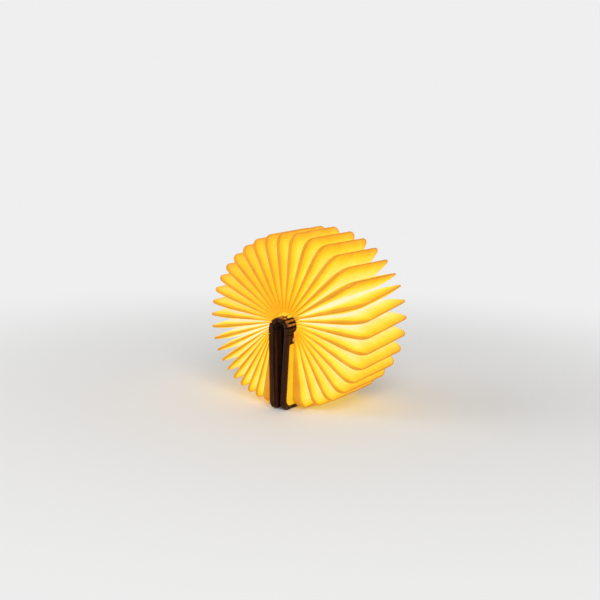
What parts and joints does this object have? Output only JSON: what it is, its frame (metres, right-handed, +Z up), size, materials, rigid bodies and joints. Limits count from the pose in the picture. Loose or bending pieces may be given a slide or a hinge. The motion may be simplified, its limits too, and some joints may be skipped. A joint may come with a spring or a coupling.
{
  "type": "folding book lamp",
  "caption": "Folding book lamp opened full circle: two wooden covers stand back to back under a bendable slotted spine, with glowing double paper leaves fanned all round.",
  "frame": {"origin": "on the floor, below the middle of the fan of leaves and of the spine's length", "axes": "+Z up as the open lamp stands; Y along the spine, -Y towards the pictured end; +X towards the front cover"},
  "size_m": [0.1841, 0.122, 0.177],
  "materials": {
    "walnut": "oiled satin",
    "leaf_paper": "matt translucent, lit from within",
    "end_paper": "matt",
    "foil": "satin",
    "wire": "satin",
    "board": "matt",
    "socket_steel": "brushed",
    "switch_glass": "clear",
    "magnet_plating": "bright nickel",
    "strip_film": "matt",
    "light_chip": "gloss"
  },
  "bodies": {
    "spine_slat_4": {"spine_slat_4": "walnut"},
    "spine_slat_5": {"spine_slat_5": "walnut"},
    "spine_slat_6": {"spine_slat_6": "walnut"},
    "spine_slat_7": {"spine_slat_7": "walnut"},
    "spine_slat_3": {"spine_slat_3": "walnut"},
    "spine_slat_2": {"spine_slat_2": "walnut"},
    "spine_slat_1": {"spine_slat_1": "walnut"},
    "rear_cover": {"rear_cover": "walnut", "rear_end_paper": "end_paper", "battery": "foil", "battery_leads": "wire", "circuit_board": "board", "charging_socket": "socket_steel", "reed_switch": "switch_glass", "rear_magnets": "magnet_plating", "rear_led_strip": "strip_film", "rear_leds": "light_chip"},
    "front_cover": {"front_cover": "walnut", "front_end_paper": "end_paper", "switch_magnet": "magnet_plating", "front_magnets": "magnet_plating", "front_led_strip": "strip_film", "front_leds": "light_chip"},
    "leaf_01": {"leaf_01": "leaf_paper"},
    "leaf_02": {"leaf_02": "leaf_paper"},
    "leaf_03": {"leaf_03": "leaf_paper"},
    "leaf_04": {"leaf_04": "leaf_paper"},
    "leaf_05": {"leaf_05": "leaf_paper"},
    "leaf_06": {"leaf_06": "leaf_paper"},
    "leaf_07": {"leaf_07": "leaf_paper"},
    "leaf_08": {"leaf_08": "leaf_paper"},
    "leaf_09": {"leaf_09": "leaf_paper"},
    "leaf_10": {"leaf_10": "leaf_paper"},
    "leaf_11": {"leaf_11": "leaf_paper"},
    "leaf_12": {"leaf_12": "leaf_paper"},
    "leaf_13": {"leaf_13": "leaf_paper"},
    "leaf_14": {"leaf_14": "leaf_paper"},
    "leaf_15": {"leaf_15": "leaf_paper"},
    "leaf_16": {"leaf_16": "leaf_paper"},
    "leaf_17": {"leaf_17": "leaf_paper"},
    "leaf_18": {"leaf_18": "leaf_paper"},
    "leaf_19": {"leaf_19": "leaf_paper"},
    "leaf_20": {"leaf_20": "leaf_paper"},
    "leaf_21": {"leaf_21": "leaf_paper"},
    "leaf_22": {"leaf_22": "leaf_paper"},
    "leaf_23": {"leaf_23": "leaf_paper"},
    "leaf_24": {"leaf_24": "leaf_paper"},
    "leaf_25": {"leaf_25": "leaf_paper"},
    "leaf_26": {"leaf_26": "leaf_paper"},
    "leaf_27": {"leaf_27": "leaf_paper"},
    "leaf_28": {"leaf_28": "leaf_paper"},
    "leaf_29": {"leaf_29": "leaf_paper"},
    "leaf_30": {"leaf_30": "leaf_paper"},
    "leaf_31": {"leaf_31": "leaf_paper"},
    "leaf_32": {"leaf_32": "leaf_paper"},
    "leaf_33": {"leaf_33": "leaf_paper"},
    "leaf_34": {"leaf_34": "leaf_paper"},
    "leaf_35": {"leaf_35": "leaf_paper"},
    "leaf_36": {"leaf_36": "leaf_paper"}
  },
  "joints": [
    {"name": "spine_bend_5", "type": "hinge", "parent": "spine_slat_4", "child": "spine_slat_5", "pos_m": [0.00183, 0, 0.09212], "axis": [0, 1, 0], "range_deg": [-45.55, 0]},
    {"name": "spine_bend_6", "type": "hinge", "parent": "spine_slat_5", "child": "spine_slat_6", "pos_m": [0.0052, 0, 0.09069], "axis": [0, 1, 0], "range_deg": [-45.55, 0]},
    {"name": "spine_bend_7", "type": "hinge", "parent": "spine_slat_6", "child": "spine_slat_7", "pos_m": [0.00774, 0, 0.08805], "axis": [0, 1, 0], "range_deg": [-45.55, 0]},
    {"name": "spine_bend_8", "type": "hinge", "parent": "spine_slat_7", "child": "front_cover", "pos_m": [0.00904, 0, 0.08463], "axis": [0, 1, 0], "range_deg": [-45.55, 0]},
    {"name": "spine_bend_4", "type": "hinge", "parent": "spine_slat_4", "child": "spine_slat_3", "pos_m": [-0.00183, 0, 0.09212], "axis": [0, 1, 0], "range_deg": [0, 45.55]},
    {"name": "spine_bend_3", "type": "hinge", "parent": "spine_slat_3", "child": "spine_slat_2", "pos_m": [-0.0052, 0, 0.09069], "axis": [0, 1, 0], "range_deg": [0, 45.55]},
    {"name": "spine_bend_2", "type": "hinge", "parent": "spine_slat_2", "child": "spine_slat_1", "pos_m": [-0.00774, 0, 0.08805], "axis": [0, 1, 0], "range_deg": [0, 45.55]},
    {"name": "spine_bend_1", "type": "hinge", "parent": "spine_slat_1", "child": "rear_cover", "pos_m": [-0.00904, 0, 0.08463], "axis": [0, 1, 0], "range_deg": [0, 45.55]},
    {"name": "leaf_01_turn", "type": "hinge", "parent": "rear_cover", "child": "leaf_01", "pos_m": [-0.02746, 0, 0.08359], "axis": [0, 1, 0], "range_deg": [-10.2, 0]},
    {"name": "leaf_02_turn", "type": "hinge", "parent": "rear_cover", "child": "leaf_02", "pos_m": [-0.01992, 0, 0.08286], "axis": [0, 1, 0], "range_deg": [-17.64, 0]},
    {"name": "leaf_03_turn", "type": "hinge", "parent": "rear_cover", "child": "leaf_03", "pos_m": [-0.01696, 0, 0.0824], "axis": [0, 1, 0], "range_deg": [-25.22, 0]},
    {"name": "leaf_04_turn", "type": "hinge", "parent": "rear_cover", "child": "leaf_04", "pos_m": [-0.01547, 0, 0.0822], "axis": [0, 1, 0], "range_deg": [-32.95, 0]},
    {"name": "leaf_05_turn", "type": "hinge", "parent": "rear_cover", "child": "leaf_05", "pos_m": [-0.01464, 0, 0.08215], "axis": [0, 1, 0], "range_deg": [-40.81, 0]},
    {"name": "leaf_06_turn", "type": "hinge", "parent": "rear_cover", "child": "leaf_06", "pos_m": [-0.01416, 0, 0.08218], "axis": [0, 1, 0], "range_deg": [-48.81, 0]},
    {"name": "leaf_07_turn", "type": "hinge", "parent": "rear_cover", "child": "leaf_07", "pos_m": [-0.0139, 0, 0.08226], "axis": [0, 1, 0], "range_deg": [-56.96, 0]},
    {"name": "leaf_08_turn", "type": "hinge", "parent": "rear_cover", "child": "leaf_08", "pos_m": [-0.01348, 0, 0.08257], "axis": [0, 1, 0], "range_deg": [-65.24, 0]},
    {"name": "leaf_09_turn", "type": "hinge", "parent": "rear_cover", "child": "leaf_09", "pos_m": [-0.01271, 0, 0.08316], "axis": [0, 1, 0], "range_deg": [-73.67, 0]},
    {"name": "leaf_10_turn", "type": "hinge", "parent": "spine_slat_1", "child": "leaf_10", "pos_m": [-0.01571, 0, 0.08536], "axis": [0, 1, 0], "range_deg": [-36.68, 0]},
    {"name": "leaf_11_turn", "type": "hinge", "parent": "spine_slat_3", "child": "leaf_11", "pos_m": [0.00052, 0, 0.08795], "axis": [0, 1, 0], "range_deg": [0, 45.72]},
    {"name": "leaf_12_turn", "type": "hinge", "parent": "spine_slat_2", "child": "leaf_12", "pos_m": [-0.0375, 0, 0.08931], "axis": [0, 1, 0], "range_deg": [-8.68, 0]},
    {"name": "leaf_13_turn", "type": "hinge", "parent": "spine_slat_3", "child": "leaf_13", "pos_m": [0.0044, 0, 0.08791], "axis": [0, 1, 0], "range_deg": [0, 27.88]},
    {"name": "leaf_14_turn", "type": "hinge", "parent": "spine_slat_3", "child": "leaf_14", "pos_m": [0.00874, 0, 0.08748], "axis": [0, 1, 0], "range_deg": [0, 18.76]},
    {"name": "leaf_15_turn", "type": "hinge", "parent": "spine_slat_3", "child": "leaf_15", "pos_m": [0.021, 0, 0.08574], "axis": [0, 1, 0], "range_deg": [0, 9.49]},
    {"name": "leaf_16_turn", "type": "hinge", "parent": "spine_slat_4", "child": "leaf_16", "pos_m": [0.00258, 0, 0.08935], "axis": [0, 1, 0], "range_deg": [0, 45.63]},
    {"name": "leaf_17_turn", "type": "hinge", "parent": "spine_slat_3", "child": "leaf_17", "pos_m": [-0.02639, 0, 0.09412], "axis": [0, 1, 0], "range_deg": [-9.47, 0]},
    {"name": "leaf_18_turn", "type": "hinge", "parent": "spine_slat_4", "child": "leaf_18", "pos_m": [0.00615, 0, 0.08864], "axis": [0, 1, 0], "range_deg": [0, 26.4]},
    {"name": "leaf_19_turn", "type": "hinge", "parent": "spine_slat_4", "child": "leaf_19", "pos_m": [0.01034, 0, 0.08762], "axis": [0, 1, 0], "range_deg": [0, 16.57]},
    {"name": "leaf_20_turn", "type": "hinge", "parent": "spine_slat_4", "child": "leaf_20", "pos_m": [0.02596, 0, 0.0835], "axis": [0, 1, 0], "range_deg": [0, 6.6]},
    {"name": "leaf_21_turn", "type": "hinge", "parent": "spine_slat_4", "child": "leaf_21", "pos_m": [-0.04748, 0, 0.10301], "axis": [0, 1, 0], "range_deg": [-3.51, 0]},
    {"name": "leaf_22_turn", "type": "hinge", "parent": "spine_slat_4", "child": "leaf_22", "pos_m": [-0.01175, 0, 0.0935], "axis": [0, 1, 0], "range_deg": [-13.76, 0]},
    {"name": "leaf_23_turn", "type": "hinge", "parent": "spine_slat_4", "child": "leaf_23", "pos_m": [-0.00607, 0, 0.09207], "axis": [0, 1, 0], "range_deg": [-24.15, 0]},
    {"name": "leaf_24_turn", "type": "hinge", "parent": "spine_slat_5", "child": "leaf_24", "pos_m": [0.0181, 0, 0.08756], "axis": [0, 1, 0], "range_deg": [0, 10.87]},
    {"name": "leaf_25_turn", "type": "hinge", "parent": "spine_slat_4", "child": "leaf_25", "pos_m": [-0.00188, 0, 0.09109], "axis": [0, 1, 0], "range_deg": [-45.35, 0]},
    {"name": "leaf_26_turn", "type": "hinge", "parent": "spine_slat_5", "child": "leaf_26", "pos_m": [-0.01251, 0, 0.09094], "axis": [0, 1, 0], "range_deg": [-10.61, 0]},
    {"name": "leaf_27_turn", "type": "hinge", "parent": "spine_slat_5", "child": "leaf_27", "pos_m": [-0.00406, 0, 0.08966], "axis": [0, 1, 0], "range_deg": [-21.57, 0]},
    {"name": "leaf_28_turn", "type": "hinge", "parent": "spine_slat_5", "child": "leaf_28", "pos_m": [-0.00104, 0, 0.08904], "axis": [0, 1, 0], "range_deg": [-32.66, 0]},
    {"name": "leaf_29_turn", "type": "hinge", "parent": "spine_slat_6", "child": "leaf_29", "pos_m": [0.13484, 0, 0.09568], "axis": [0, 1, 0], "range_deg": [0, 1.66]},
    {"name": "leaf_30_turn", "type": "hinge", "parent": "spine_slat_6", "child": "leaf_30", "pos_m": [-0.01746, 0, 0.08507], "axis": [0, 1, 0], "range_deg": [-9.71, 0]},
    {"name": "leaf_31_turn", "type": "hinge", "parent": "spine_slat_7", "child": "leaf_31", "pos_m": [0.01906, 0, 0.08574], "axis": [0, 1, 0], "range_deg": [0, 24.32]},
    {"name": "leaf_32_turn", "type": "hinge", "parent": "front_cover", "child": "leaf_32", "pos_m": [0.01351, 0, 0.083], "axis": [0, 1, 0], "range_deg": [0, 58.22]},
    {"name": "leaf_33_turn", "type": "hinge", "parent": "front_cover", "child": "leaf_33", "pos_m": [0.014, 0, 0.08289], "axis": [0, 1, 0], "range_deg": [0, 46.43]},
    {"name": "leaf_34_turn", "type": "hinge", "parent": "front_cover", "child": "leaf_34", "pos_m": [0.01508, 0, 0.08289], "axis": [0, 1, 0], "range_deg": [0, 34.49]},
    {"name": "leaf_35_turn", "type": "hinge", "parent": "front_cover", "child": "leaf_35", "pos_m": [0.01771, 0, 0.08311], "axis": [0, 1, 0], "range_deg": [0, 22.42]},
    {"name": "leaf_36_turn", "type": "hinge", "parent": "front_cover", "child": "leaf_36", "pos_m": [0.02746, 0, 0.08359], "axis": [0, 1, 0], "range_deg": [0, 10.2]}
  ],
  "couplings": [
    {"joint": "spine_bend_6", "follows": "spine_bend_5", "ratio": 1},
    {"joint": "spine_bend_7", "follows": "spine_bend_5", "ratio": 1},
    {"joint": "spine_bend_8", "follows": "spine_bend_5", "ratio": 1},
    {"joint": "spine_bend_4", "follows": "spine_bend_5", "ratio": -1},
    {"joint": "spine_bend_3", "follows": "spine_bend_5", "ratio": -1},
    {"joint": "spine_bend_2", "follows": "spine_bend_5", "ratio": -1},
    {"joint": "spine_bend_1", "follows": "spine_bend_5", "ratio": -1},
    {"joint": "leaf_01_turn", "follows": "spine_bend_5", "ratio": 0.22393},
    {"joint": "leaf_02_turn", "follows": "spine_bend_5", "ratio": 0.3873},
    {"joint": "leaf_03_turn", "follows": "spine_bend_5", "ratio": 0.55376},
    {"joint": "leaf_04_turn", "follows": "spine_bend_5", "ratio": 0.7233},
    {"joint": "leaf_05_turn", "follows": "spine_bend_5", "ratio": 0.89592},
    {"joint": "leaf_06_turn", "follows": "spine_bend_5", "ratio": 1.0716},
    {"joint": "leaf_07_turn", "follows": "spine_bend_5", "ratio": 1.2504},
    {"joint": "leaf_08_turn", "follows": "spine_bend_5", "ratio": 1.4323},
    {"joint": "leaf_09_turn", "follows": "spine_bend_5", "ratio": 1.6172},
    {"joint": "leaf_10_turn", "follows": "spine_bend_5", "ratio": 0.80526},
    {"joint": "leaf_11_turn", "follows": "spine_bend_5", "ratio": -1.0036},
    {"joint": "leaf_12_turn", "follows": "spine_bend_5", "ratio": 0.19057},
    {"joint": "leaf_13_turn", "follows": "spine_bend_5", "ratio": -0.61215},
    {"joint": "leaf_14_turn", "follows": "spine_bend_5", "ratio": -0.41179},
    {"joint": "leaf_15_turn", "follows": "spine_bend_5", "ratio": -0.20834},
    {"joint": "leaf_16_turn", "follows": "spine_bend_5", "ratio": -1.0018},
    {"joint": "leaf_17_turn", "follows": "spine_bend_5", "ratio": 0.2078},
    {"joint": "leaf_18_turn", "follows": "spine_bend_5", "ratio": -0.57951},
    {"joint": "leaf_19_turn", "follows": "spine_bend_5", "ratio": -0.36374},
    {"joint": "leaf_20_turn", "follows": "spine_bend_5", "ratio": -0.14488},
    {"joint": "leaf_21_turn", "follows": "spine_bend_5", "ratio": 0.07706},
    {"joint": "leaf_22_turn", "follows": "spine_bend_5", "ratio": 0.30209},
    {"joint": "leaf_23_turn", "follows": "spine_bend_5", "ratio": 0.53019},
    {"joint": "leaf_24_turn", "follows": "spine_bend_5", "ratio": -0.23862},
    {"joint": "leaf_25_turn", "follows": "spine_bend_5", "ratio": 0.99565},
    {"joint": "leaf_26_turn", "follows": "spine_bend_5", "ratio": 0.233},
    {"joint": "leaf_27_turn", "follows": "spine_bend_5", "ratio": 0.47344},
    {"joint": "leaf_28_turn", "follows": "spine_bend_5", "ratio": 0.71696},
    {"joint": "leaf_29_turn", "follows": "spine_bend_5", "ratio": -0.03644},
    {"joint": "leaf_30_turn", "follows": "spine_bend_5", "ratio": 0.21324},
    {"joint": "leaf_31_turn", "follows": "spine_bend_5", "ratio": -0.53399},
    {"joint": "leaf_32_turn", "follows": "spine_bend_5", "ratio": -1.2781},
    {"joint": "leaf_33_turn", "follows": "spine_bend_5", "ratio": -1.0192},
    {"joint": "leaf_34_turn", "follows": "spine_bend_5", "ratio": -0.7572},
    {"joint": "leaf_35_turn", "follows": "spine_bend_5", "ratio": -0.49211},
    {"joint": "leaf_36_turn", "follows": "spine_bend_5", "ratio": -0.22393}
  ]
}
